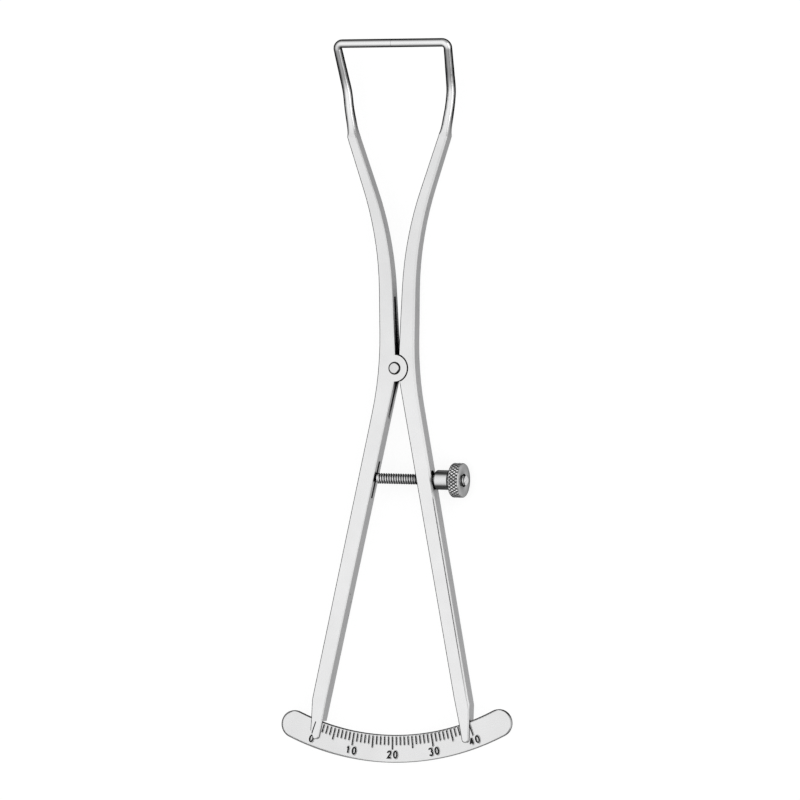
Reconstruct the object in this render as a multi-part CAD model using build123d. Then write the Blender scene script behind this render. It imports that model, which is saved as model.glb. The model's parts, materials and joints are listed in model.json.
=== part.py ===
from build123d import *
import math
import os

os.makedirs("parts", exist_ok=True)

# Frame: the joint's back face lies at Z = 0, level with the jaw pivot. +Y runs along the centre
# line of the closed jaws and +X points to the side of the nut. The jaws are closed at rest. The
# pivot stands a little to the left of the centre line, at pivot_x. The handles' own centre line
# leans from the jaws' by handle_skew. Half distances and heights below the joint are measured
# along it.

# Flat arms, in millimetres
arm_thickness = 4.28
jaw_thickness = 3.85
thinning_start_y = 6.0
thinning_end_y = 33.0
edge_chamfer = 0.28
outer_bevel = 0.5

# Jaw half of an arm, above the pivot
kink_y = 62.3
kink_inner = 11.87
kink_width = 2.64
jaw_bend_y = 35.0
jaw_bend_inner = 2.1
jaw_bend_width = 3.35
bend_radius = 92.0

# Handle half of an arm, below the pivot
handle_skew = 1.22
joint_y = -1.4
joint_inner = 0.32
joint_width = 4.55
handle_angle = 11.75
handle_end_y = -86.7
handle_end_width = 4.06

# Thin tongues at the scale
tongue_turn_rise = 5.93
tongue_front = 3.85
tongue_slope_length = 6.5
tongue_flat_start = 0.68
tongue_reach = 4.81
tongue_lean = 0.12
tongue_tip_share = 0.46
pointer_reach = 4.71
pointer_flare = 0.62
pointer_tip_share = 0.36
pointer_taper_length = 2.9
pointer_taper = 1.35

# Round jaw legs and their tips
neck_length = 2.0
knee_length = 8.0
knee_offset = 1.45
bend_length = 12.3
bend_offset = 1.88
leg_forward_angle = 22.8
tip_y = 87.5
tip_offset = 2.9
neck_width = 2.5
neck_height = 3.1
knee_width = 2.5
knee_height = 2.8
bend_width = 2.48
bend_height = 2.68
tip_width = 2.25
tip_height = 2.4
tip_corner_radius = 1.5
tip_seam = 0.06
turn_softness = 1.8
root_round_share = 0.2
neck_round_share = 0.75
tip_round_share = 0.96
leg_section_count = 16
section_step = 0.05

# Slotted joint
boss_radius = 3.58
boss_clearance = 0.42
lobe_radius = 3.2
lobe_clearance = 0.2
lobe_thickness = 1.5
slot_side_clearance = 0.05
slot_mouth_margin = 1.0
saw_slot_height = 1.3
saw_slot_wall = 1.2
saw_slot_top_y = 19.3
saw_slot_bottom_y = -14.0

# Jaw pivot pin
pivot_x = -0.6
pivot_radius = 1.2
pivot_head_radius = 1.56
pivot_head_seat = 0.4
pivot_head_rise = 0.5
pivot_head_flat = 0.12
pivot_head_round = 0.42
pivot_head_gap = 0.2
pivot_foot_radius = 1.6
pivot_foot_depth = 0.5
press_clearance = 0.02
running_clearance = 0.05

# Threaded spindle between the handles
spindle_y = -29.81
thread_radius = 1.45
thread_pitch = 0.7
thread_depth = 0.38
thread_crest = 0.12
spindle_overhang = 1.35
spindle_plain_end = 0.8
spindle_dome = 0.6
spindle_shoulder = 2.75
shoulder_chamfer = 0.35
tang_thickness = 1.0
tang_half_width = 1.0
tang_saw_radius = 5.6
tang_side_clearance = 0.05
tang_floor_clearance = 0.15
spindle_pin_radius = 0.55
spindle_pin_chamfer = 0.14
spindle_pin_front_wall = 0.8
fixed_slot_length = 5.1
fixed_slot_clearance = 0.1

# Sleeve and knurled nut
sleeve_radius = 2.65
sleeve_length = 4.55
sleeve_gap = 0.3
sleeve_round = 0.5
sleeve_chamfer = 0.12
nut_gap = 0.05
nut_hub_radius = 2.2
nut_hub_length = 0.25
nut_radius = 4.7
nut_thickness = 3.1
nut_chamfer = 0.22
nut_recess_radius = 1.8
nut_recess_depth = 0.45

# Arched scale plate
scale_center_x = -1.63
scale_center_y = -34.43
scale_inner_radius = 64.43
scale_width = 7.49
scale_thickness = 1.2
scale_front = 3.1
scale_start_angle = -24.95
scale_end_angle = 26.7
scale_edge_chamfer = 0.24
braze_gap = 0.02
pointer_clearance = 0.12
shoulder_clearance = 0.15
jaw_travel_angle = 22.0

# Marks on the scale, one division for each millimetre between the jaw tips
division_count = 40
reading_y = 88.0
index_offset = 0.713
mark_width = 0.32
mark_depth = 0.12
mark_sink = 0.02
mark_margin = 0.45
unit_mark_length = 2.3
five_mark_length = 3.25
ten_mark_length = 3.5
numeral_height = 2.2
numeral_width = 1.35
numeral_gap = 0.25
numeral_spacing = 0.4
numeral_stroke = 0.44

RIGHT = 1
LEFT = -1
mid_z = arm_thickness / 2
big = 400.0
handle_slope = math.tan(math.radians(handle_angle))


def turned(x, y, angle):
    """A point turned about the Z axis by an angle in degrees."""
    a = math.radians(angle)
    return (x * math.cos(a) - y * math.sin(a), x * math.sin(a) + y * math.cos(a))


def handle_point(side, x, y):
    """A point of a handle, from its half distance and height along the handles' centre line."""
    return turned(side * x, y, -handle_skew)


def inner_half(y):
    """Half distance of a handle's inner edge."""
    return joint_inner + handle_slope * (joint_y - y)


def outer_half(y):
    """Half distance of a handle's outer edge, until the tongue starts."""
    share = (joint_y - y) / (joint_y - handle_end_y)
    return inner_half(y) + joint_width + (handle_end_width - joint_width) * share


def scale_edge_distance(angle):
    """Distance from the pivot to the plate's upper edge, at an angle from straight down."""
    a = math.radians(angle)
    center_x = scale_center_x - pivot_x
    along = center_x * math.sin(a) - scale_center_y * math.cos(a)
    offset_squared = center_x ** 2 + scale_center_y ** 2
    return along + math.sqrt(scale_inner_radius ** 2 - offset_squared + along ** 2)


def tongue_y(side, reach):
    """Height of a tongue's point a reach below where its inner edge crosses the plate's edge."""
    start = handle_point(side, inner_half(0), 0)
    run = handle_point(side, -handle_slope, 1)
    x, y = start[0] - scale_center_x, start[1] - scale_center_y
    squared = run[0] ** 2 + run[1] ** 2
    half = (run[0] * x + run[1] * y) / squared
    rest = (x ** 2 + y ** 2 - scale_inner_radius ** 2) / squared
    return -half - math.sqrt(half ** 2 - rest) - reach


tongue_turn_y = tongue_y(LEFT, 0) + tongue_turn_rise
tongue_outer = outer_half(tongue_turn_y)
index_y = tongue_y(LEFT, pointer_reach / 2)
index_half = (inner_half(index_y) + tongue_outer) / 2 + index_offset
index_x, index_y = handle_point(LEFT, index_half, index_y)
zero_angle = math.degrees(math.atan2(index_x - pivot_x, -index_y))
hinge_half = (inner_half(spindle_y) + outer_half(spindle_y)) / 2
hinge_x, hinge_y = handle_point(LEFT, hinge_half, spindle_y)


def blade_outline(side, reach, flare, tip_share):
    """Plan of one flat arm, from the kink of its jaw to the end of its tongue."""
    end_y = tongue_y(side, reach)
    end_width = tongue_outer + flare - inner_half(end_y)
    inner = [
        (side * kink_inner, kink_y),
        (side * jaw_bend_inner, jaw_bend_y),
        (side * joint_inner, joint_y),
        handle_point(side, inner_half(end_y), end_y),
    ]
    outer = [
        (side * (kink_inner + kink_width), kink_y),
        (side * (jaw_bend_inner + jaw_bend_width), jaw_bend_y),
        (side * (joint_inner + joint_width), joint_y),
        handle_point(side, tongue_outer, tongue_turn_y),
    ]
    corner = handle_point(side, tongue_outer + flare, end_y)
    inner_edge = FilletPolyline(*inner[:3], radius=bend_radius) + Line(inner[2], inner[3])
    outer_edge = FilletPolyline(*outer, radius=bend_radius) + Line(outer[3], corner)
    face = make_face(inner_edge + outer_edge + Line(inner[3], corner) + Line(inner[0], outer[0]))
    tips = face.vertices().sort_by(Axis.Y)[:2]
    return fillet(tips, tip_share * end_width)


def thinning_curve(z, step):
    """Smooth change of height from the joint's thickness to the jaws', as two arcs."""
    middle = ((thinning_start_y + thinning_end_y) / 2, z + step / 2)
    lower = TangentArc((thinning_start_y, z), middle, tangent=(1, 0))
    return lower + TangentArc((thinning_end_y, z + step), middle, tangent=(-1, 0))


def blade_profile(side):
    """Side view of an arm: thinner at the jaw, with a sloped front at the tongue."""
    thinning = (arm_thickness - jaw_thickness) / 2
    slope_end_y = tongue_y(side, -tongue_flat_start)
    slope_start_y = slope_end_y + tongue_slope_length
    handle = Polyline(
        (thinning_start_y, 0),
        (-big, 0),
        (-big, tongue_front),
        (slope_end_y, tongue_front),
        (slope_start_y, arm_thickness),
        (thinning_start_y, arm_thickness),
    )
    jaw = Polyline(
        (thinning_end_y, arm_thickness - thinning),
        (big, arm_thickness - thinning),
        (big, thinning),
        (thinning_end_y, thinning),
    )
    curves = thinning_curve(0, thinning) + thinning_curve(arm_thickness, -thinning)
    return extrude(Plane.YZ * make_face(handle + jaw + curves), amount=big, both=True)


def middle_half(y):
    """Half distance of an arm's middle line."""
    if y < joint_y:
        return (inner_half(y) + min(outer_half(y), tongue_outer)) / 2
    joint_middle = joint_inner + joint_width / 2
    bend_middle = jaw_bend_inner + jaw_bend_width / 2
    kink_middle = kink_inner + kink_width / 2
    if y < jaw_bend_y:
        share = (y - joint_y) / (jaw_bend_y - joint_y)
        return joint_middle + share * (bend_middle - joint_middle)
    share = (y - jaw_bend_y) / (kink_y - jaw_bend_y)
    return bend_middle + share * (kink_middle - bend_middle)


def broken_edges(solid, side, front, outer):
    """The long edges of an arm on its front or back, and on its outer or inner side."""
    kept = []
    for edge in solid.edges():
        middle = edge.position_at(0.5)
        along = abs(edge.tangent_at(0.5).Y) > 0.5 and middle.Y > tongue_turn_y
        x, y = middle.X, middle.Y
        if y < joint_y:
            x, y = turned(x, y, handle_skew)
        if along and (middle.Z > mid_z) == front and (side * x > middle_half(y)) == outer:
            kept.append(edge)
    return kept


def blade(side, reach, flare, tip_share):
    """One flat arm with its long edges broken."""
    outline = blade_outline(side, reach, flare, tip_share)
    solid = extrude(outline, arm_thickness) & blade_profile(side)
    front_bevel = outer_bevel if side == RIGHT else edge_chamfer
    solid = chamfer(broken_edges(solid, side, True, True), front_bevel)
    solid = chamfer(broken_edges(solid, side, True, False), edge_chamfer)
    solid = chamfer(broken_edges(solid, side, False, True), edge_chamfer)
    return chamfer(broken_edges(solid, side, False, False), edge_chamfer)


def rounded_turn(y, turn_y):
    """Zero before a turn of a leg and a unit slope after it, with a smooth change between."""
    if y < turn_y - turn_softness:
        return 0
    if y > turn_y + turn_softness:
        return y - turn_y
    return (y - turn_y + turn_softness) ** 2 / (4 * turn_softness)


def leg_point(y):
    """A point of the right leg's middle line."""
    first = knee_offset / knee_length
    second = (bend_offset - knee_offset) / (bend_length - knee_length)
    third = (tip_offset - bend_offset) / (tip_y - kink_y - bend_length)
    x = kink_inner + kink_width / 2 + first * (y - kink_y)
    x += (second - first) * rounded_turn(y, kink_y + knee_length)
    x += (third - second) * rounded_turn(y, kink_y + bend_length)
    rise = rounded_turn(y, kink_y + bend_length) * math.tan(math.radians(leg_forward_angle))
    return Vector(x, y, mid_z + rise)


def blend(y, values):
    """A value at height y, between those of the leg's root, neck, knee, bend and tip."""
    places = [0, neck_length, knee_length, bend_length, tip_y - kink_y]
    i = 0
    while i < len(places) - 2 and y - kink_y > places[i + 1]:
        i += 1
    share = (y - kink_y - places[i]) / (places[i + 1] - places[i])
    return values[i] + share * (values[i + 1] - values[i])


def leg_section(y, point, along):
    """The leg's rounded cross section, square to its run."""
    width = blend(y, [kink_width, neck_width, knee_width, bend_width, tip_width])
    height = blend(y, [jaw_thickness, neck_height, knee_height, bend_height, tip_height])
    full = tip_round_share
    round_share = blend(y, [root_round_share, neck_round_share, full, full, full])
    plane = Plane(origin=point, x_dir=along.cross(Vector(0, 0, 1)), z_dir=along)
    return plane * RectangleRounded(width, height, round_share * min(width, height) / 2)


def jaw_leg():
    """The right jaw's leg: it rounds off, bends forward, and turns in to meet the other tip."""
    corner = leg_point(tip_y)
    upper = (corner - leg_point(tip_y - section_step)).normalized()
    turn = upper.get_angle(Vector(-1, 0, 0))
    setback = tip_corner_radius * math.tan(math.radians(turn / 2))
    corner_start = corner - upper * setback
    corner_end = corner - Vector(setback, 0, 0)
    run = corner_start.Y - kink_y
    sections = [leg_section(kink_y, leg_point(kink_y), Vector(0, 1, 0))]
    for i in range(1, leg_section_count):
        y = kink_y + run * i / leg_section_count
        along = leg_point(y + section_step) - leg_point(y - section_step)
        sections.append(leg_section(y, leg_point(y), along.normalized()))
    sections.append(leg_section(tip_y, corner_start, upper))
    tip = Vector(tip_seam / 2, corner.Y, corner.Z)
    path = TangentArc(corner_start, corner_end, tangent=upper) + Line(corner_end, tip)
    return loft(sections) + sweep(sections[-1], path=path)


def below_scale(radius, x, y, top_z):
    """The space below top_z and outside a circle, in the region of the scale."""
    outside = Circle(big) - Circle(radius)
    ring = Pos(x, y, top_z) * extrude(outside, -big)
    lower = Pos(0, y - big, 0) * Box(2 * big, 2 * big, 2 * big)
    return ring & lower


def pivot_disc(radius, z, height):
    """A disc around the jaw pivot's axis."""
    return Pos(pivot_x, 0, z) * extrude(Circle(radius), height)


def pin_bore(radius):
    """The hole for the jaw pivot pin, with its countersunk foot and the seat of its head."""
    foot_top = pivot_foot_radius - pivot_radius + radius
    foot = Pos(pivot_x, 0, pivot_foot_depth / 2) * Cone(foot_top, radius, pivot_foot_depth)
    seat_z = arm_thickness - pivot_head_seat
    seat = pivot_disc(pivot_head_radius + pivot_head_gap, seat_z, pivot_head_seat)
    return pivot_disc(radius, 0, arm_thickness) + foot + seat


def on_spindle(shape):
    """A shape moved from the X axis to the spindle's, which is square to the handles' centre line."""
    return Pos(hinge_x, hinge_y, mid_z) * Rot(0, 0, -handle_skew) * shape


def along_x(sketch, start, length):
    """A sketch around the X axis, extruded along it."""
    plane = Plane(origin=(start, 0, 0), x_dir=(0, 1, 0), z_dir=(1, 0, 0))
    return extrude(plane * sketch, length)


def make_fixed_arm():
    """Right arm: its middle layer carries the lobe that runs in the other arm's slot."""
    arm = blade(RIGHT, tongue_reach, -tongue_lean, tongue_tip_share)
    lobe_z = mid_z - lobe_thickness / 2
    recess = pivot_disc(boss_radius + boss_clearance, 0, arm_thickness)
    arm -= recess - pivot_disc(boss_radius + boss_clearance, lobe_z, lobe_thickness)
    arm += pivot_disc(lobe_radius, lobe_z, lobe_thickness)
    arm -= pivot_disc(pivot_radius + running_clearance, 0, arm_thickness)
    arm -= below_scale(
        scale_inner_radius - braze_gap, scale_center_x, scale_center_y, scale_front + braze_gap
    )
    slot_height = 2 * (thread_radius + fixed_slot_clearance)
    arm -= on_spindle(along_x(SlotOverall(fixed_slot_length, slot_height), 0, big))
    return arm + jaw_leg()


def saw_slot():
    """Plan of the thin slot in the left arm, open to the inner side."""
    mouth_x = pivot_x + boss_radius + slot_mouth_margin
    top = (-jaw_bend_inner, saw_slot_top_y)
    floor = (saw_slot_wall - joint_inner - joint_width, 0)
    bottom = handle_point(LEFT, inner_half(saw_slot_bottom_y), saw_slot_bottom_y)
    curve = ThreePointArc(top, floor, bottom)
    return make_face(curve + Polyline(bottom, (mouth_x, bottom[1]), (mouth_x, top[1]), top))


def lobe_pocket():
    """Plan of the pocket of the lobe, which also frees the boss beyond the arm's inner edge."""
    mouth_x = pivot_x + boss_radius + slot_mouth_margin
    end = boss_radius + boss_clearance
    share = (end - joint_y) / (jaw_bend_y - joint_y)
    top = (-joint_inner - share * (jaw_bend_inner - joint_inner), end)
    bottom = handle_point(LEFT, inner_half(-end), -end)
    edge = Polyline(top, (-joint_inner, joint_y), bottom, (mouth_x, -end), (mouth_x, end), close=True)
    return make_face(edge) + Pos(pivot_x, 0) * Circle(lobe_radius + lobe_clearance)


def middle_layer(plan, height):
    """A plan extruded to a layer at mid thickness."""
    return Pos(0, 0, mid_z - height / 2) * extrude(plan, height)


def mark_strip(length, width, radius, angle):
    """A strip that points to the plate's centre and starts at a radius from it."""
    strip = Pos(0, -radius - length / 2) * Rectangle(width, length)
    return Pos(scale_center_x, scale_center_y) * Rot(0, 0, angle) * strip


def mark_plate_angle(angle, radius):
    """Angle about the plate's centre of the point that lies at an angle about the pivot."""
    distance = scale_edge_distance(angle) + radius
    x, y = turned(0, -distance, angle)
    return math.degrees(math.atan2(pivot_x + x - scale_center_x, scale_center_y - y))


def pointer_taper_cut():
    """What is cut away beside the pointer's narrow end."""
    end_y = tongue_y(LEFT, pointer_reach)
    edge = tongue_outer + pointer_flare
    waist = handle_point(LEFT, edge, end_y + pointer_taper_length)
    point = handle_point(LEFT, edge - pointer_taper, end_y)
    away = handle_point(LEFT, 2 * tongue_outer, end_y)
    past = (2 * point[0] - waist[0], 2 * point[1] - waist[1])
    return extrude(make_face(Polyline(waist, past, away, close=True)), arm_thickness)


def make_pointer_parts():
    """Left arm and the index mark inlaid in its tongue."""
    arm = blade(LEFT, pointer_reach, pointer_flare, pointer_tip_share)
    arm += pivot_disc(boss_radius, 0, arm_thickness)
    arm -= middle_layer(saw_slot(), saw_slot_height)
    arm -= middle_layer(lobe_pocket(), lobe_thickness + 2 * slot_side_clearance)
    arm -= pin_bore(pivot_radius + press_clearance)
    for angle in (0, -jaw_travel_angle):
        x, y = turned(scale_center_x - pivot_x, scale_center_y, angle)
        shoulder = scale_inner_radius - shoulder_clearance
        arm -= below_scale(shoulder, pivot_x + x, y, scale_front + pointer_clearance)
    arm -= pointer_taper_cut()
    saw_height = tang_thickness + 2 * tang_side_clearance
    saw = extrude(Circle(tang_saw_radius), saw_height / 2, both=True)
    saw_run = tang_saw_radius - tang_half_width - tang_floor_clearance
    saw_x, saw_y = turned(saw_run, 0, -handle_angle - handle_skew)
    arm -= Pos(hinge_x + saw_x, hinge_y + saw_y, mid_z) * saw
    pin_top = arm_thickness - spindle_pin_front_wall + press_clearance
    pin_hole = extrude(Circle(spindle_pin_radius + press_clearance), pin_top)
    arm -= Pos(hinge_x, hinge_y) * pin_hole
    arm += mirror(jaw_leg(), Plane.YZ)
    plate_angle = mark_plate_angle(zero_angle, ten_mark_length / 2)
    groove = mark_strip(pointer_reach, mark_width, scale_inner_radius + mark_margin, plate_angle)
    groove = Pos(0, 0, tongue_front - mark_depth) * extrude(groove, mark_depth)
    width = mark_width - 2 * press_clearance
    index = mark_strip(pointer_reach, width, scale_inner_radius + mark_margin + press_clearance, plate_angle)
    index_z = tongue_front - mark_depth + press_clearance
    index = Pos(0, 0, index_z) * extrude(index, mark_depth - press_clearance - mark_sink)
    return arm - groove, arm & index


def dome_arc(radius, rise, top):
    """Arc of a dome's half section, from its rim to its top on the axis, along X."""
    sphere = (radius ** 2 + rise ** 2) / (2 * rise)
    span = math.degrees(math.asin(radius / sphere))
    return CenterArc((top - sphere, 0), sphere, 0, span)


def make_pivot_pin():
    """Jaw pin: flush at the back, with a round-edged, slightly domed head in front."""
    seat = arm_thickness - pivot_head_seat + press_clearance
    top = arm_thickness + pivot_head_rise
    rim = top - pivot_head_flat
    outline = Polyline(
        (top, 0),
        (0, 0),
        (0, pivot_foot_radius),
        (pivot_foot_depth, pivot_radius),
        (seat, pivot_radius),
        (seat, pivot_head_radius),
        (rim, pivot_head_radius),
    )
    face = make_face(outline + dome_arc(pivot_head_radius, pivot_head_flat, top))
    face = fillet(face.vertices().sort_by_distance((rim, pivot_head_radius))[0], pivot_head_round)
    return Pos(pivot_x, 0, 0) * Rot(0, -90, 0) * revolve(face, Axis.X)


def scale_plan():
    """Plan of the scale plate: an arched strip with round ends."""
    start = 270 + scale_start_angle
    arc = CenterArc((0, 0), scale_inner_radius + scale_width / 2, start, scale_end_angle - scale_start_angle)
    return Pos(scale_center_x, scale_center_y) * SlotArc(arc, scale_width)


def division_marks(width, inset):
    """All marks of the scale; those at fives and tens are longer."""
    marks = []
    for n in range(division_count + 1):
        length = unit_mark_length
        if n % 5 == 0:
            length = five_mark_length
        if n % 10 == 0:
            length = ten_mark_length
        angle = division_angle(n)
        radius = scale_inner_radius + mark_margin + inset
        marks.append(mark_strip(length - 2 * inset, width - 2 * inset, radius, angle))
    return marks


def division_angle(n):
    """Plate angle of a division: the jaw tips are n millimetres apart at their reading height."""
    opening = 2 * math.degrees(math.asin(n / (2 * reading_y)))
    return mark_plate_angle(zero_angle + opening, mark_margin + ten_mark_length / 2)


def digit_lines(digit, w, h):
    """Centre line of one digit, or its first stroke, in a field w wide and h high."""
    if digit == "1":
        return Line((0, h / 2), (0, -h / 2))
    if digit == "2":
        bow = ThreePointArc((-w / 2, h / 4), (0, h / 2), (w / 2, h / 4))
        return bow + Polyline((w / 2, h / 4), (-w / 2, -h / 2), (w / 2, -h / 2))
    if digit == "3":
        return ThreePointArc((-w / 2, h * 0.38), (w * 0.42, h / 4), (0, 0.02 * h))
    return Polyline((w / 5, h / 2), (-w / 2, -h / 6), (w / 2, -h / 6))


def digit_face(digit, stroke):
    """One digit as a flat shape of a stroke's width."""
    w = numeral_width - numeral_stroke
    h = numeral_height - numeral_stroke
    if digit == "0":
        outer = Ellipse((w + stroke) / 2, (h + stroke) / 2)
        return outer - Ellipse((w - stroke) / 2, (h - stroke) / 2)
    face = trace(digit_lines(digit, w, h), stroke)
    if digit == "3":
        face += trace(ThreePointArc((0, 0.02 * h), (w / 2, -h / 4), (-w / 2, -h * 0.38)), stroke)
    if digit == "1":
        face += trace(Line((-w / 3, h / 4), (0, h / 2)), stroke)
    if digit == "4":
        face += trace(Line((w / 5, -h / 2), (w / 5, h / 2)), stroke)
    return face


def numerals(stroke):
    """The numbers of the tens, each below its mark and turned with it."""
    faces = []
    radius = scale_inner_radius + mark_margin + ten_mark_length + numeral_gap + numeral_height / 2
    step = numeral_width + numeral_spacing
    for tens in range(division_count // 10 + 1):
        text = str(10 * tens)
        place = Pos(scale_center_x, scale_center_y) * Rot(0, 0, division_angle(10 * tens))
        for i, digit in enumerate(text):
            x = (i - (len(text) - 1) / 2) * step
            faces.append(place * Pos(x, -radius) * digit_face(digit, stroke))
    return faces


def inlay(faces, clearance):
    """Flat marks raised to solids, from the groove's floor to just under the plate's face."""
    floor_z = scale_front - mark_depth + clearance
    height = scale_front - mark_sink - floor_z
    solids = []
    for face in faces:
        solids.extend(extrude(Pos(0, 0, floor_z) * face, height).solids())
    return Compound(solids)


def make_scale_plate():
    """The arched plate with the grooves of its marks and numbers."""
    plate = extrude(Pos(0, 0, scale_front - scale_thickness) * scale_plan(), scale_thickness)
    rims = plate.edges().filter_by(lambda edge: abs(edge.tangent_at(0.5).Z) < 0.5)
    plate = chamfer(rims, scale_edge_chamfer)
    cutters = []
    for face in division_marks(mark_width, 0) + numerals(numeral_stroke):
        cutters.append(extrude(Pos(0, 0, scale_front - mark_depth) * face, mark_depth))
    return plate - cutters


def sleeve_start():
    """Distance from the hinge to the sleeve, whose lower rim is just off the right handle."""
    top = turned(joint_inner + joint_width, joint_y, handle_skew)
    low = (tongue_outer, tongue_turn_y)
    run = math.hypot(low[0] - top[0], low[1] - top[1])
    normal_x = (top[1] - low[1]) / run
    normal_y = (low[0] - top[0]) / run
    rim_y = spindle_y - sleeve_radius + sleeve_round
    off = sleeve_round + sleeve_gap - normal_y * (rim_y - top[1])
    return hinge_half + top[0] + off / normal_x - sleeve_round


def spindle_length():
    """Length of the spindle from its hinge to its end, just past the nut."""
    nut_end = sleeve_start() + sleeve_length + nut_gap + nut_hub_length + nut_thickness
    return nut_end + spindle_overhang


def thread_profile(length):
    """Half section of the spindle from its shoulder to its end, as places along X and radii."""
    root = thread_radius - thread_depth
    end = length - spindle_plain_end
    turns = int((end - spindle_shoulder - shoulder_chamfer) / thread_pitch)
    points = [
        (spindle_shoulder, 0),
        (spindle_shoulder, thread_radius - shoulder_chamfer),
        (spindle_shoulder + shoulder_chamfer, thread_radius),
    ]
    for turn in range(turns):
        start = end - (turns - turn) * thread_pitch
        points.append((start + thread_crest / 2, thread_radius))
        points.append((start + thread_pitch / 2, root))
        points.append((start + thread_pitch - thread_crest / 2, thread_radius))
    points.append((length - spindle_dome, thread_radius))
    return points


def make_spindle():
    """Threaded rod with a flat tang at its hinge and a slightly domed end."""
    length = spindle_length()
    outline = Polyline((length, 0), *thread_profile(length))
    rod = revolve(make_face(outline + dome_arc(thread_radius, spindle_dome, length)), Axis.X)
    root = spindle_shoulder + shoulder_chamfer
    tang = Circle(tang_half_width) + Pos(root / 2, 0) * Rectangle(root, 2 * tang_half_width)
    tang -= Circle(spindle_pin_radius + running_clearance)
    return on_spindle(rod + extrude(tang, tang_thickness / 2, both=True))


def make_spindle_pin():
    """Blind pin of the spindle's hinge, set in from the back."""
    length = arm_thickness - spindle_pin_front_wall
    pin = extrude(Circle(spindle_pin_radius), length)
    pin = chamfer(pin.edges().sort_by(Axis.Z)[-1], spindle_pin_chamfer)
    return Pos(hinge_x, hinge_y) * pin


def make_sleeve():
    """Smooth sleeve between the right handle and the nut."""
    start = sleeve_start()
    body = along_x(Circle(sleeve_radius), start, sleeve_length)
    body = fillet(body.edges().sort_by(Axis.X)[0], sleeve_round)
    body = chamfer(body.edges().sort_by(Axis.X)[-1], sleeve_chamfer)
    return on_spindle(body - along_x(Circle(thread_radius + running_clearance), start, sleeve_length))


def make_knurled_nut():
    """Nut disc with broken rims, a low hub and a recess round its bore in the outer face."""
    hub_start = sleeve_start() + sleeve_length + nut_gap
    start = hub_start + nut_hub_length
    disc = along_x(Circle(nut_radius), start, nut_thickness)
    disc = chamfer(disc.edges().filter_by(GeomType.CIRCLE), nut_chamfer)
    disc += along_x(Circle(nut_hub_radius), hub_start, nut_hub_length)
    bore_length = nut_hub_length + nut_thickness
    disc -= along_x(Circle(thread_radius + running_clearance), hub_start, bore_length)
    recess_start = start + nut_thickness - nut_recess_depth
    return on_spindle(disc - along_x(Circle(nut_recess_radius), recess_start, nut_recess_depth))


moving_arm, index_mark = make_pointer_parts()
mark_faces = division_marks(mark_width, press_clearance)
numeral_faces = numerals(numeral_stroke - 2 * press_clearance)
nodes = {
    "fixed_arm": make_fixed_arm(),
    "moving_arm": moving_arm,
    "pivot_pin": make_pivot_pin(),
    "scale_plate": make_scale_plate(),
    "scale_marks": inlay(mark_faces, press_clearance),
    "scale_numerals": inlay(numeral_faces, press_clearance),
    "index_mark": index_mark,
    "spindle": make_spindle(),
    "spindle_pin": make_spindle_pin(),
    "sleeve": make_sleeve(),
    "knurled_nut": make_knurled_nut(),
}
for name, shape in nodes.items():
    export_step(shape, f"parts/{name}.step")
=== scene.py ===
import json
import math
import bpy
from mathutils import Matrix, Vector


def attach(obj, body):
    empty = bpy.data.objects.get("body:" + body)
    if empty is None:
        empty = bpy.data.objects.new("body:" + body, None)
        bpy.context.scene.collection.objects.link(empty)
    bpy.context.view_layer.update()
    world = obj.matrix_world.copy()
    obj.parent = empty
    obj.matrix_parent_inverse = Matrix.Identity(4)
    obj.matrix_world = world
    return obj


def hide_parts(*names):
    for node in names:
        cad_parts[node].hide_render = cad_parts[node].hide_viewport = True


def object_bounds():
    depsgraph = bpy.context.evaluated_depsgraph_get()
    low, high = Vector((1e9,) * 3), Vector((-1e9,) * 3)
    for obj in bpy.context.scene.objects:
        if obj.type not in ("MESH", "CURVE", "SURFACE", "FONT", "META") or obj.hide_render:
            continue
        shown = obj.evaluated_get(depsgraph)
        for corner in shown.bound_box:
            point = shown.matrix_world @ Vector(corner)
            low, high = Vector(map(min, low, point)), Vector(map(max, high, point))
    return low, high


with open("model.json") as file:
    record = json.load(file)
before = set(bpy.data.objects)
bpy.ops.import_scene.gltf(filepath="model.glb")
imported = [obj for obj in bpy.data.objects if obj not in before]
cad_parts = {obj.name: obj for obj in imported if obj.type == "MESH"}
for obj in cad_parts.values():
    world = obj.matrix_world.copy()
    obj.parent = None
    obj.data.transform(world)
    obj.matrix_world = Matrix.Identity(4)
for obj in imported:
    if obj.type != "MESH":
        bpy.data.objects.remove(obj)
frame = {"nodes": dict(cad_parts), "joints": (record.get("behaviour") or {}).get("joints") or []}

from types import SimpleNamespace

import bmesh
import bpy
from mathutils import Matrix, Vector

# Everything is in metres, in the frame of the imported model: +Z points out of the front face,
# +Y to the jaw tips and +X to the nut. The object lies on its back on a pale floor and the
# camera looks down on it, turned a little towards the nut's side.

cad_low, cad_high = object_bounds()
joints = {joint["name"]: joint for joint in frame["joints"]}
nodes = frame["nodes"]
mm = 0.001
tiny = 1e-6
merge_distance = 0.0001 * mm

# Spindle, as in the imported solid
thread_radius = 1.45 * mm
thread_pitch = 0.7 * mm
thread_depth = 0.38 * mm
thread_start = 2.9 * mm
thread_steps = 14
plain_end = 0.8 * mm
dome_rise = 0.6 * mm
dome_steps = 6
shoulder_radius = 1.1 * mm
shoulder_start = 2.75 * mm
tang_half_width = 1.0 * mm
tang_thickness = 1.0 * mm
tang_length = 3.1 * mm
tang_hole_radius = 0.6 * mm
rod_segments = 64
rod_smooth_angle = math.radians(40)

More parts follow.
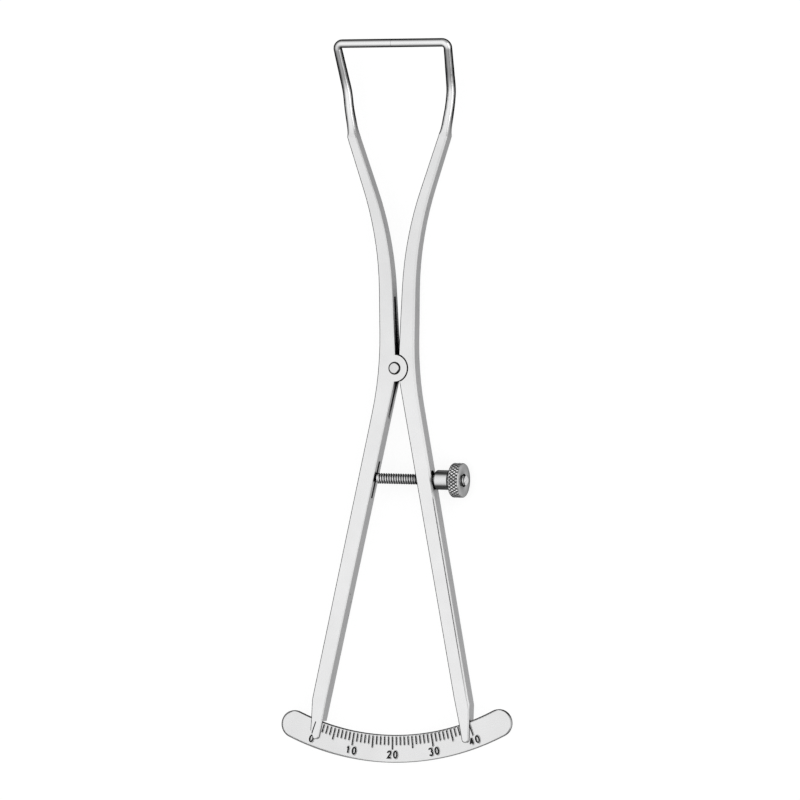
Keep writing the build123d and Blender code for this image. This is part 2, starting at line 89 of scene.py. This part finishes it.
# Nut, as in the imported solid, with its knurl
nut_radius = 4.7 * mm
nut_hub_radius = 2.2 * mm
nut_hub_length = 0.25 * mm
nut_bore_radius = 1.5 * mm
nut_recess_radius = 1.8 * mm
nut_recess_depth = 0.45 * mm
nut_chamfer = 0.22 * mm
nut_edge_round = 0.06 * mm
nut_smooth_angle = math.radians(28)
knurl_count = 30
knurl_steps = 8
knurl_angle = math.radians(36)
knurl_depth = 0.28 * mm
knurl_fade = 0.15 * mm
knurl_edge_share = 0.3
knurl_fullness = 1.3

# Direction the round legs face where their painted reflection is brightest; their flanks are painted
# dark
painted_sheen_axis = (0.342, 0, 0.94)

# Stretches along the arms, in Y, over which their finish and painted shade change
above_joint = (-10 * mm, 12 * mm)
leg_start = (61 * mm, 70 * mm)
leg_bend_start = (74 * mm, 79 * mm)
leg_bend_end = (84.5 * mm, 86.5 * mm)
handle_line_top = (-35.5 * mm, -34.5 * mm)
handle_line_fade = (-90 * mm, -72 * mm)
right_handle_side = (4 * mm, 5 * mm)

# Sizes of painted shade, highlights and fine relief
crevice_reach = 4.5 * mm
crevice_samples = 12
bevel_samples = 8
handle_line_reach = 0.7 * mm
plate_rim_reach = 0.6 * mm
sleeve_shade_length = (0.82 * mm, 0.72 * mm)
thread_end_fade = 0.3 * mm
knurl_dim_length = 0.5 * mm
nut_highlight_half_width = (1.0 * mm, 1.6 * mm)
steel_relief = 0.02 * mm
mark_relief = 0.03 * mm
grazing_tint = 0.1
blue_share = 1.004

# Floor and light
floor_half_side = 3.0
floor_gap = 0.05 * mm
floor_grey = 0.25
floor_glow = 0.83
horizon_level = 0.4
lamp_place = (1.1, 0.0, 0.46)
lamp_width = 1.6
lamp_height = 0.6
lamp_power = 3.5

# Camera, from the photograph's perspective
camera_turn = math.radians(22)
camera_distance = 2.965
camera_target = Vector((0.145, -8.57, 2.14)) * mm
camera_lens = 495
camera_sensor = 36
camera_nearest = 0.1
camera_farthest = 20


# Meshes

def finish_mesh(name, bm, smooth_angle):
    """A mesh object from a bmesh, smooth except across edges sharper than the angle."""
    bmesh.ops.remove_doubles(bm, verts=bm.verts, dist=merge_distance)
    bmesh.ops.recalc_face_normals(bm, faces=bm.faces)
    mesh = bpy.data.meshes.new(name)
    bm.to_mesh(mesh)
    bm.free()
    mesh.shade_smooth()
    mesh.set_sharp_from_angle(angle=smooth_angle)
    made = bpy.data.objects.new(name, mesh)
    bpy.context.scene.collection.objects.link(made)
    return made


def bridge(bm, first, second):
    """Quads between two rings of vertices."""
    for i in range(len(first)):
        j = (i + 1) % len(first)
        bm.faces.new((first[i], first[j], second[j], second[i]))


def lathe(bm, stations, radius_at, segments):
    """Rings round the X axis, joined in order. radius_at gives a station's radius at an angle."""
    rings = []
    for station in stations:
        ring = []
        for i in range(segments):
            angle = 2 * math.pi * i / segments
            radius = radius_at(station, angle)
            ring.append(bm.verts.new((station[0], radius * math.cos(angle), radius * math.sin(angle))))
        rings.append(ring)
    for first, second in zip(rings, rings[1:]):
        bridge(bm, first, second)
    return rings


def rounded_corners(points, size):
    """A profile with each inner corner replaced by a short curve of three points."""
    made = [points[0]]
    for before, corner, after in zip(points, points[1:], points[2:]):
        corner = Vector(corner)
        back, on = Vector(before) - corner, Vector(after) - corner
        reach = min(size, back.length / 3, on.length / 3)
        start = corner + back.normalized() * reach
        end = corner + on.normalized() * reach
        made.extend([tuple(start), tuple((start + end) / 4 + corner / 2), tuple(end)])
    made.append(points[-1])
    return made


def spindle_axis():
    """The spindle's direction, from its hinge to its free end."""
    return -Vector(joints["nut_spin"]["axis"]).normalized()


def spindle_hinge():
    """The middle of the spindle's hinge."""
    return Vector(joints["spindle_swing"]["pos_m"])


def on_spindle(obj, along=0.0):
    """Puts a piece made round the X axis on the spindle's axis, at a distance from its hinge."""
    axis = spindle_axis()
    across = Vector((0, 0, 1)).cross(axis)
    place = Matrix((axis, across, (0, 0, 1))).transposed().to_4x4()
    place.translation = spindle_hinge() + axis * along
    obj.matrix_world = place
    return obj


def extent_on_spindle(node):
    """Where a node starts and ends along the spindle, from its hinge."""
    axis, hinge = spindle_axis(), spindle_hinge()
    along = [(v.co - hinge).dot(axis) for v in nodes[node].data.vertices]
    return min(along), max(along)


def thread_radius_at(station, angle):
    """Radius of the helical thread; the grooves run out at both ends of the thread."""
    x, radius, groove = station
    if not groove:
        return radius
    phase = (x / thread_pitch - angle / (2 * math.pi)) % 1.0
    away = abs(2 * phase - 1)
    return radius - groove * thread_depth * 0.5 * (1 - math.cos(math.pi * away))


def add_tang(bm):
    """Flat eye at the spindle's hinge, round the pin."""
    outer, inner = [], []
    for i in range(rod_segments):
        angle = 2 * math.pi * i / rod_segments
        reach = tang_half_width
        if math.cos(angle) > 0:
            reach = min(tang_half_width / max(abs(math.sin(angle)), tiny), tang_length / math.cos(angle))
        outer.append((reach * math.cos(angle), reach * math.sin(angle)))
        inner.append((tang_hole_radius * math.cos(angle), tang_hole_radius * math.sin(angle)))
    layers = []
    half = tang_thickness / 2
    for outline, z in ((outer, -half), (outer, half), (inner, half), (inner, -half)):
        layers.append([bm.verts.new((x, y, z)) for x, y in outline])
    for first, second in zip(layers, layers[1:] + layers[:1]):
        bridge(bm, first, second)


def make_spindle():
    """Rod with a real helical thread, a domed end and the flat eye of its hinge."""
    length = extent_on_spindle("spindle")[1]
    end = length - plain_end
    stations = [
        (shoulder_start, tiny, 0),
        (shoulder_start, shoulder_radius, 0),
        (thread_start, thread_radius - thread_depth / 2, 0),
    ]
    count = int((end - thread_start) / thread_pitch * thread_steps)
    for i in range(count + 1):
        x = thread_start + (end - thread_start) * i / count
        inside = min(x - thread_start, end - x) / thread_pitch
        stations.append((x, thread_radius, min(1.0, max(0.0, inside))))
    sphere = (thread_radius ** 2 + dome_rise ** 2) / (2 * dome_rise)
    for i in range(dome_steps + 1):
        radius = max(thread_radius * math.cos(math.pi / 2 * i / dome_steps), tiny)
        drop = sphere - math.sqrt(sphere ** 2 - radius ** 2)
        stations.append((length - drop, radius, 0))
    bm = bmesh.new()
    rings = lathe(bm, stations, thread_radius_at, rod_segments)
    bm.faces.new(rings[0])
    bm.faces.new(rings[-1])
    add_tang(bm)
    return on_spindle(finish_mesh("spindle_thread", bm, rod_smooth_angle))


def knurl_radius_at(station, angle):
    """Radius of the nut's rim: two crossing sets of grooves leave rows of small pyramids."""
    x, radius, depth = station
    if not depth:
        return radius
    twist = x * math.tan(knurl_angle) / nut_radius
    peaks = []
    for turned in (angle + twist, angle - twist):
        phase = turned * knurl_count / (2 * math.pi) % 1.0
        peaks.append(1 - abs(2 * phase - 1))
    return radius - depth * (1 - min(1.0, knurl_fullness * min(peaks)))


def make_nut():
    """Knurled nut with broken rims, a low hub and a recess round its bore."""
    start, end = extent_on_spindle("knurled_nut")
    length = end - start
    face = nut_hub_length
    rim_radius = nut_radius - knurl_edge_share * knurl_depth
    left = rounded_corners([
        (0.0, nut_bore_radius),
        (0.0, nut_hub_radius),
        (face, nut_hub_radius),
        (face, nut_radius - nut_chamfer),
        (face + nut_chamfer, rim_radius),
    ], nut_edge_round)
    right = rounded_corners([
        (length - nut_chamfer, rim_radius),
        (length, nut_radius - nut_chamfer),
        (length, nut_recess_radius),
        (length - nut_recess_depth, nut_recess_radius),
        (length - nut_recess_depth, nut_bore_radius),
        (0.0, nut_bore_radius),
    ], nut_edge_round)
    stations = [(x, radius, 0) for x, radius in left]
    knurl_start, knurl_end = face + nut_chamfer, length - nut_chamfer
    middle = (knurl_start + knurl_end) / 2
    step = 2 * math.pi * nut_radius / knurl_count / knurl_steps / math.tan(knurl_angle)
    rows = int((knurl_end - knurl_start) / 2 / step)
    for row in range(-rows, rows + 1):
        x = middle + row * step
        inside = min(x - knurl_start, knurl_end - x) / knurl_fade
        stations.append((x, nut_radius, knurl_depth * min(1.0, max(knurl_edge_share, inside))))
    stations += [(x, radius, 0) for x, radius in right]
    bm = bmesh.new()
    lathe(bm, stations, knurl_radius_at, knurl_count * knurl_steps)
    return on_spindle(finish_mesh("nut_knurled", bm, nut_smooth_angle), start)


# Shader steps

def add(tree, kind, inputs=None, **settings):
    """A shader node with its settings and inputs; an input is a value or another node's socket."""
    made = tree.nodes.new("ShaderNode" + kind)
    for key, value in settings.items():
        setattr(made, key, value)
    for key, value in (inputs or {}).items():
        if isinstance(value, bpy.types.NodeSocket):
            tree.links.new(value, made.inputs[key])
        else:
            made.inputs[key].default_value = value
    return made


def new_material(name):
    """An empty node material and its output."""
    material = bpy.data.materials.new(name)
    material.use_nodes = True
    material.node_tree.nodes.clear()
    output = material.node_tree.nodes.new("ShaderNodeOutputMaterial")
    return material, material.node_tree, output


def remap(tree, value, low, high, to_low, to_high, smooth=False):
    """A value mapped from one range to another and held at its ends."""
    kind = "SMOOTHSTEP" if smooth else "LINEAR"
    inputs = {"Value": value, "From Min": low, "From Max": high, "To Min": to_low, "To Max": to_high}
    return add(tree, "MapRange", inputs, interpolation_type=kind).outputs["Result"]


def calculate(tree, operation, first, second=0.0):
    """One arithmetic step between values or sockets."""
    return add(tree, "Math", {0: first, 1: second}, operation=operation).outputs[0]


def product(tree, first, *others):
    """Values or sockets multiplied together."""
    for other in others:
        first = calculate(tree, "MULTIPLY", first, other)
    return first


def blend(tree, share, first, second):
    """The first value where the share is 0, the second where it is 1."""
    return add(tree, "Mix", {0: share, 2: first, 3: second}).outputs[0]


def noise(tree, coordinates, scale, detail, stretch=(1, 1, 1)):
    """Noise in object space, stretched where the grain has a direction."""
    mapped = add(tree, "Mapping", {"Vector": coordinates, "Scale": stretch}).outputs["Vector"]
    return add(tree, "TexNoise", {"Vector": mapped, "Scale": scale, "Detail": detail}).outputs["Fac"]


def ramp(tree, value, stops):
    """A value sent through a curve of straight pieces, given as places and heights."""
    made = add(tree, "ValToRGB", {"Fac": value})
    points = made.color_ramp.elements
    points[0].position, points[1].position = stops[0][0], stops[-1][0]
    for place, _ in stops[1:-1]:
        points.new(place)
    for point, (_, height) in zip(points, stops):
        point.color = (height, height, height, 1)
    return made.outputs["Color"]


def vector_parts(tree, vector):
    """The three parts of a vector."""
    return add(tree, "SeparateXYZ", {0: vector}).outputs


def dot(tree, vector, direction):
    """How far a vector reaches in a fixed direction."""
    return add(tree, "VectorMath", {0: vector, 1: direction}, operation="DOT_PRODUCT").outputs["Value"]


def surface_point(tree):
    """Where a point lies on its object and which way the surface faces there, in object space.
    facing is 1 on the flat front and back and 0 on upright sides."""
    coordinates = add(tree, "TexCoord").outputs
    place = vector_parts(tree, coordinates["Object"])
    normal = vector_parts(tree, coordinates["Normal"])
    return SimpleNamespace(
        place=coordinates["Object"],
        x=place["X"],
        y=place["Y"],
        z=place["Z"],
        normal=coordinates["Normal"],
        normal_x=normal["X"],
        normal_y=normal["Y"],
        normal_z=normal["Z"],
        facing=calculate(tree, "ABSOLUTE", normal["Z"]),
    )


def groove_share(tree, at, root, crest):
    """How far a point near the X axis lies out of the grooves: 0 at the root, 1 at the crest."""
    across = add(tree, "CombineXYZ", {"Y": at.y, "Z": at.z}).outputs[0]
    radius = add(tree, "VectorMath", {0: across}, operation="LENGTH").outputs["Value"]
    return remap(tree, radius, root, crest, 0.0, 1.0)


def rounded_normal(tree, radius):
    """The parts of the normal in object space, as if the edges were rounded by a radius."""
    near = add(tree, "Bevel", {"Radius": radius}, samples=bevel_samples).outputs["Normal"]
    settings = {"vector_type": "NORMAL", "convert_from": "WORLD", "convert_to": "OBJECT"}
    return vector_parts(tree, add(tree, "VectorTransform", {0: near}, **settings).outputs[0])


def painted_crevice_shade(tree, at, deepest=0.01):
    """Share of the tone left by painted shade, from ambient occlusion, where the surface lies deep in a
    slit or a corner. The flat backs, which lie close over the floor, are kept free of it."""
    occlusion = add(tree, "AmbientOcclusion", {"Distance": crevice_reach}, samples=crevice_samples)
    unshaded = remap(tree, occlusion.outputs["AO"], 0.27, 0.62, deepest, 1.0, True)
    return calculate(tree, "MAXIMUM", unshaded, remap(tree, at.normal_z, -0.97, -0.85, 1.0, 0.0))


def metal_shader(tree, output, tone, roughness, height):
    """Bare steel of a grey tone whose fine relief follows a height."""
    color = add(tree, "CombineColor", {0: tone, 1: tone, 2: product(tree, tone, blue_share)})
    bump = add(tree, "Bump", {"Strength": 0.12, "Distance": steel_relief, "Height": height})
    shader = add(tree, "BsdfPrincipled", {
        "Base Color": color.outputs[0],
        "Metallic": 1.0,
        "Roughness": roughness,
        "Specular Tint": (grazing_tint, grazing_tint, grazing_tint, 1),
        "Normal": bump.outputs["Normal"],
    })
    tree.links.new(shader.outputs["BSDF"], output.inputs["Surface"])


# Painted light and shade, and specks: each takes the tone of the steel so far and returns it changed

def lit_sides(tree, at, tone):
    """Brighter sides of the plate towards its lower right."""
    share = remap(tree, calculate(tree, "SUBTRACT", at.normal_x, at.normal_y), -0.1, 0.9, 0.0, 1.0)
    share = product(tree, share, remap(tree, at.facing, 0.8, 0.95, 1.0, 0.0))
    return blend(tree, share, tone, 0.40)


def painted_left_rim_shade(tree, at, tone):
    """Painted shade: a thin dark line on the plate's flat faces, just inside their left rim."""
    line = remap(tree, rounded_normal(tree, plate_rim_reach)["X"], -0.05, -0.02, 0.08, 1.0)
    line = calculate(tree, "MAXIMUM", line, remap(tree, at.facing, 0.93, 0.97, 1.0, 0.0))
    return product(tree, tone, line)


def painted_pin_reflection(tree, at, tone):
    """Painted reflection: a dark crescent on the right of a pin's dome, split by a painted bright spot.
    """
    share = remap(tree, at.normal_x, 0.08, 0.2, 0.0, 1.0)
    spot = calculate(tree, "ABSOLUTE", calculate(tree, "SUBTRACT", at.normal_y, 0.08))
    share = product(tree, share, remap(tree, spot, 0.14, 0.26, 0.0, 1.0))
    return blend(tree, share, tone, 0.04)


def painted_left_edge_shade(tree, at, tone):
    """Painted shade: dark outlines on the left-facing broken edges of the arms."""
    share = ramp(tree, at.facing, [(0.0, 0.0), (0.4, 0.0), (0.6, 1.0), (0.85, 1.0), (0.93, 0.0)])
    share = product(tree, share, remap(tree, at.normal_x, -0.3, 0.2, 1.0, 0.0))
    return blend(tree, share, tone, 0.08)


def painted_handle_edge_shade(tree, at, tone):
    """Painted shade: a dark line on the right bevel of the lower right handle, beside the front face."""
    line = calculate(tree, "SUBTRACT", rounded_normal(tree, handle_line_reach)["Z"], at.facing)
    line = product(
        tree,
        remap(tree, line, 0.004, 0.02, 0.0, 0.97),
        ramp(tree, at.facing, [(0.0, 0.0), (0.55, 0.0), (0.62, 1.0), (0.80, 1.0), (0.86, 0.0)]),
        remap(tree, at.normal_x, 0.3, 0.5, 0.0, 1.0),
        remap(tree, at.y, *handle_line_top, 1.0, 0.0),
        remap(tree, at.y, *handle_line_fade, 0.3, 1.0),
        remap(tree, at.x, *right_handle_side, 0.0, 1.0),
    )
    return product(tree, tone, calculate(tree, "SUBTRACT", 1.0, line))


def jaw_shade(tree, at, tone):
    """Jaws a little greyer than the handles."""
    return product(tree, tone, remap(tree, at.y, *above_joint, 1.0, 0.93))


def side_specks(tree, at, tone):
    """A few dark specks on the upright sides."""
    specks = remap(tree, noise(tree, at.place, 1400.0, 2.0), 0.68, 0.74, 0.0, 0.5)
    specks = product(tree, specks, remap(tree, at.facing, 0.2, 0.5, 1.0, 0.0))
    return product(tree, tone, calculate(tree, "SUBTRACT", 1.0, specks))


def painted_sleeve_end_shade(tree, at, tone):
    """Painted shade: a dark end of the sleeve, beside the nut."""
    axis = spindle_axis()
    along = calculate(tree, "SUBTRACT", dot(tree, at.place, axis), spindle_hinge().dot(axis))
    end = extent_on_spindle("sleeve")[1]
    shade_start, shade_full = (end - length for length in sleeve_shade_length)
    return product(tree, tone, remap(tree, along, shade_start, shade_full, 1.0, 0.04))


# Materials

def leg_finish(tree, at, tone, roughness):
    """Tone and roughness of the arms, which turn glossy on the round legs with a painted reflection,
    bright where they face the sheen axis and dark on their flanks. The bend of each leg is painted
    duller."""
    share = remap(tree, at.y, *leg_start, 0.0, 1.0, True)
    # Painted reflection: bright where the leg faces the sheen axis, dark on its flanks.
    flank = calculate(tree, "ABSOLUTE", dot(tree, at.normal, painted_sheen_axis))
    leg_tones = [(0.0, 0.02), (0.5, 0.03), (0.66, 0.10), (0.76, 0.60), (0.86, 0.88), (1.0, 0.90)]
    leg = ramp(tree, flank, leg_tones)
    # Painted shade over each leg's bend.
    bend = remap(tree, at.y, *leg_bend_start, 1.0, 0.45, True)
    bend = calculate(tree, "MAXIMUM", bend, remap(tree, at.y, *leg_bend_end, 0.0, 1.0, True))
    return blend(tree, share, tone, product(tree, leg, bend)), blend(tree, share, roughness, 0.14)


def steel(name, tones, roughness, grain=(1, 0.05, 1), painted_shading=(), legs=False, dirt_and_shade=()):
    """Stainless steel whose grey follows which way each face turns, as painted shade: flats bright and
    upright sides darker, with fine grain and a slight cloudiness. The painted light and shade go on
    before the legs' finish, the specks and the painted shade at the sleeve's end after it, and painted
    shade in slits and corners last."""
    material, tree, output = new_material(name)
    at = surface_point(tree)
    lines = noise(tree, at.place, 5000.0, 4.0, grain)
    rough = remap(tree, lines, 0.25, 0.75, roughness * 0.85, roughness * 1.15)
    # Painted shade: a grey for each way a face turns, darker on upright sides than on flat faces.
    tone = ramp(tree, at.facing, tones)
    for tone_step in painted_shading:
        tone = tone_step(tree, at, tone)
    if legs:
        tone, rough = leg_finish(tree, at, tone, rough)
    clouds = noise(tree, at.place, 110.0, 3.0)
    tone = product(tree, tone, remap(tree, clouds, 0.3, 0.7, 0.96, 1.02))
    tone = product(tree, tone, remap(tree, lines, 0.3, 0.7, 0.985, 1.01))
    for tone_step in dirt_and_shade:
        tone = tone_step(tree, at, tone)
    metal_shader(tree, output, product(tree, tone, painted_crevice_shade(tree, at)), rough, lines)
    return material


def thread_finish(name):
    """Bright thread crests over darker grooves, with painted shade on the upright sides of the rod and
    in its slits and corners; the domed end is kept bright, out of the painted shade."""
    material, tree, output = new_material(name)
    at = surface_point(tree)
    lines = noise(tree, at.place, 6000.0, 3.0)
    root = thread_radius - 0.9 * thread_depth
    crest = groove_share(tree, at, root, thread_radius - 0.1 * thread_depth)
    thread_end = extent_on_spindle("spindle")[1] - plain_end
    dome = remap(tree, calculate(tree, "ABSOLUTE", at.normal_x), 0.3, 0.6, 0.0, 0.85)
    dome = product(tree, dome, remap(tree, at.x, thread_end - thread_end_fade, thread_end, 0.0, 1.0))
    tone = remap(tree, calculate(tree, "MAXIMUM", crest, dome), 0.0, 1.0, 0.32, 0.85)
    # Painted shade on the rod's upright flanks, where they turn away from the front.
    height = calculate(tree, "ABSOLUTE", at.z)
    flank_shade = remap(tree, height, 0.42 * thread_radius, 0.92 * thread_radius, 0.10, 1.0)
    tone = product(tree, tone, calculate(tree, "MAXIMUM", flank_shade, dome), painted_crevice_shade(tree, at, 0.3))
    metal_shader(tree, output, tone, remap(tree, lines, 0.25, 0.75, 0.16, 0.24), lines)
    return material


def knurl_finish(name):
    """Bright knurl points over dark grooves, duller beside the sleeve, with painted shade on the rim's
    upright sides and in its slits and corners. The outer face is a plain grey with a painted highlight
    on its edge, the inner face painted dark as shade."""
    material, tree, output = new_material(name)
    at = surface_point(tree)
    lines = noise(tree, at.place, 6000.0, 3.0, (0.2, 1, 1))
    point = groove_share(tree, at, nut_radius - knurl_depth, nut_radius - 0.1 * knurl_depth)
    across = calculate(tree, "ABSOLUTE", at.y)
    knurl_start = nut_hub_length + nut_chamfer
    # Painted shade: the rim darkens towards its upright flanks.
    rim = product(
        tree,
        ramp(tree, point, [(0.0, 0.03), (0.35, 0.07), (0.6, 0.80), (1.0, 0.95)]),
        remap(tree, across, 0.6 * nut_radius, 0.95 * nut_radius, 1.0, 0.4),
        remap(tree, at.x, knurl_start, knurl_start + knurl_dim_length, 0.35, 1.0),
    )
    # Painted highlight: a bright band on the middle of the outer chamfer.
    edge_highlight = remap(tree, at.normal_x, 0.8, 0.95, 0.4, 0.0)
    edge_highlight = product(tree, edge_highlight, remap(tree, across, *nut_highlight_half_width, 1.0, 0.0))
    outer_face = remap(tree, at.normal_x, 0.62, 0.68, 0.0, 1.0)
    tone = blend(tree, outer_face, rim, calculate(tree, "ADD", edge_highlight, 0.54))
    # Painted shade: the inner face, towards the sleeve, is dark.
    inner_face = remap(tree, at.normal_x, -0.68, -0.62, 1.0, 0.0)
    tone = product(tree, blend(tree, inner_face, tone, 0.16), painted_crevice_shade(tree, at, 0.05))
    metal_shader(tree, output, tone, remap(tree, lines, 0.25, 0.75, 0.18, 0.26), lines)
    return material


def mark_filling(name):
    """Dark filling of the engraved marks, slightly worn."""
    material, tree, output = new_material(name)
    wear = noise(tree, surface_point(tree).place, 2500.0, 3.0)
    tone = remap(tree, wear, 0.3, 0.8, 0.004, 0.014)
    color = add(tree, "CombineColor", {0: tone, 1: tone, 2: tone})
    bump = add(tree, "Bump", {"Strength": 0.2, "Distance": mark_relief, "Height": wear})
    shader = add(tree, "BsdfPrincipled", {
        "Base Color": color.outputs[0],
        "Roughness": remap(tree, wear, 0.3, 0.7, 0.5, 0.7),
        "Specular IOR Level": 0.2,
        "Normal": bump.outputs["Normal"],
    })
    tree.links.new(shader.outputs["BSDF"], output.inputs["Surface"])
    return material


def dress(obj, material):
    """Gives an object one material."""
    obj.data.materials.clear()
    obj.data.materials.append(material)


# Painted shade: the arms' upright sides and chamfers are greyer than their flat faces, with painted
# shade on their edges.
arm_steel = steel(
    "arm_steel",
    [(0.0, 0.60), (0.25, 0.60), (0.45, 0.48), (0.85, 0.60), (0.96, 0.865)],
    0.30,
    painted_shading=[painted_left_edge_shade, painted_handle_edge_shade, jaw_shade],
    legs=True,
    dirt_and_shade=[side_specks],
)
# Painted shade: the plate's upright sides are nearly black beside its bright flat faces.
plate_steel = steel(
    "plate_steel",
    [(0.0, 0.08), (0.85, 0.10), (0.96, 0.815)],
    0.28,
    grain=(0.05, 1, 1),
    painted_shading=[lit_sides, painted_left_rim_shade],
)
# Painted reflection: the pin heads darken to nearly black towards their rims.
pin_steel = steel(
    "pin_steel",
    [(0.0, 0.03), (0.7, 0.05), (0.85, 0.30), (0.94, 0.74)],
    0.12,
    grain=(1, 1, 1),
    painted_shading=[painted_pin_reflection],
)
# Painted reflection: the sleeve is bright along its front and back and dark in bands towards its sides.
sleeve_steel = steel(
    "sleeve_steel",
    [(0.0, 0.40), (0.3, 0.28), (0.6, 0.10), (0.8, 0.14), (0.9, 0.80)],
    0.20,
    grain=(0.2, 1, 1),
    dirt_and_shade=[painted_sleeve_end_shade],
)
thread_steel = thread_finish("thread_steel")
nut_steel = knurl_finish("nut_steel")
mark_black = mark_filling("mark_black")

for node, material in {
    "fixed_arm": arm_steel,
    "moving_arm": arm_steel,
    "pivot_pin": pin_steel,
    "spindle_pin": pin_steel,
    "scale_plate": plate_steel,
    "sleeve": sleeve_steel,
    "scale_marks": mark_black,
    "scale_numerals": mark_black,
    "index_mark": mark_black,
}.items():
    dress(nodes[node], material)

spindle = make_spindle()
dress(spindle, thread_steel)
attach(spindle, "spindle_body")
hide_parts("spindle")

nut = make_nut()
dress(nut, nut_steel)
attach(nut, "nut_body")
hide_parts("knurled_nut")


# Floor, light and camera

def make_floor():
    """A pale floor under the object. The camera, gloss and glass see it white with its shadow."""
    bm = bmesh.new()
    corners = [(-1, -1), (1, -1), (1, 1), (-1, 1)]
    z = cad_low.z - floor_gap
    bm.faces.new([bm.verts.new((x * floor_half_side, y * floor_half_side, z)) for x, y in corners])
    floor = finish_mesh("floor", bm, math.radians(30))
    material, tree, output = new_material("floor")
    path = add(tree, "LightPath").outputs
    seen = calculate(tree, "MAXIMUM", path["Is Camera Ray"], path["Is Glossy Ray"])
    seen = calculate(tree, "MAXIMUM", seen, path["Is Transmission Ray"])
    pale = add(tree, "BsdfDiffuse", {"Color": (floor_grey, floor_grey, floor_grey, 1)}).outputs[0]
    lift = product(tree, seen, floor_glow)
    glow = add(tree, "Emission", {"Color": (1, 1, 1, 1), "Strength": lift}).outputs[0]
    sheet = add(tree, "AddShader", {0: pale, 1: glow}).outputs[0]
    clear = add(tree, "BsdfTransparent").outputs[0]
    back = add(tree, "NewGeometry").outputs["Backfacing"]
    mixed = add(tree, "MixShader", {0: back, 1: sheet, 2: clear}).outputs[0]
    tree.links.new(mixed, output.inputs["Surface"])
    dress(floor, material)


def make_world():
    """A pale dome, bright overhead and greyer towards the horizon."""
    world = bpy.data.worlds.new("studio")
    bpy.context.scene.world = world
    world.use_nodes = True
    tree = world.node_tree
    tree.nodes.clear()
    height = vector_parts(tree, add(tree, "TexCoord").outputs["Generated"])["Z"]
    level = remap(tree, height, 0.3, 0.97, horizon_level, 1.0, True)
    back = add(tree, "Background", {"Color": (1, 1, 1, 1), "Strength": level})
    output = add(tree, "OutputWorld")
    tree.links.new(back.outputs[0], output.inputs["Surface"])


def make_lamp():
    """A long soft lamp at the right that looks at the object."""
    data = bpy.data.lights.new("right", "AREA")
    data.shape = "RECTANGLE"
    data.size = lamp_width
    data.size_y = lamp_height
    data.energy = lamp_power
    lamp = bpy.data.objects.new("right", data)
    lamp.location = lamp_place
    lamp.rotation_mode = "QUATERNION"
    lamp.rotation_quaternion = (camera_target - lamp.location).to_track_quat("-Z", "Y")
    bpy.context.scene.collection.objects.link(lamp)


def make_camera():
    """The camera of the photograph."""
    data = bpy.data.cameras.new("camera")
    data.lens = camera_lens
    data.sensor_width = camera_sensor
    data.clip_start = camera_nearest
    data.clip_end = camera_farthest
    camera = bpy.data.objects.new("camera", data)
    out = Vector((math.sin(camera_turn), 0, math.cos(camera_turn)))
    right = Vector((math.cos(camera_turn), 0, -math.sin(camera_turn)))
    place = Matrix((right, (0, 1, 0), out)).transposed().to_4x4()
    place.translation = camera_target + out * camera_distance
    camera.matrix_world = place
    bpy.context.scene.collection.objects.link(camera)
    bpy.context.scene.camera = camera


make_floor()
make_world()
make_lamp()
make_camera()
bpy.context.scene.view_settings.view_transform = "Standard"
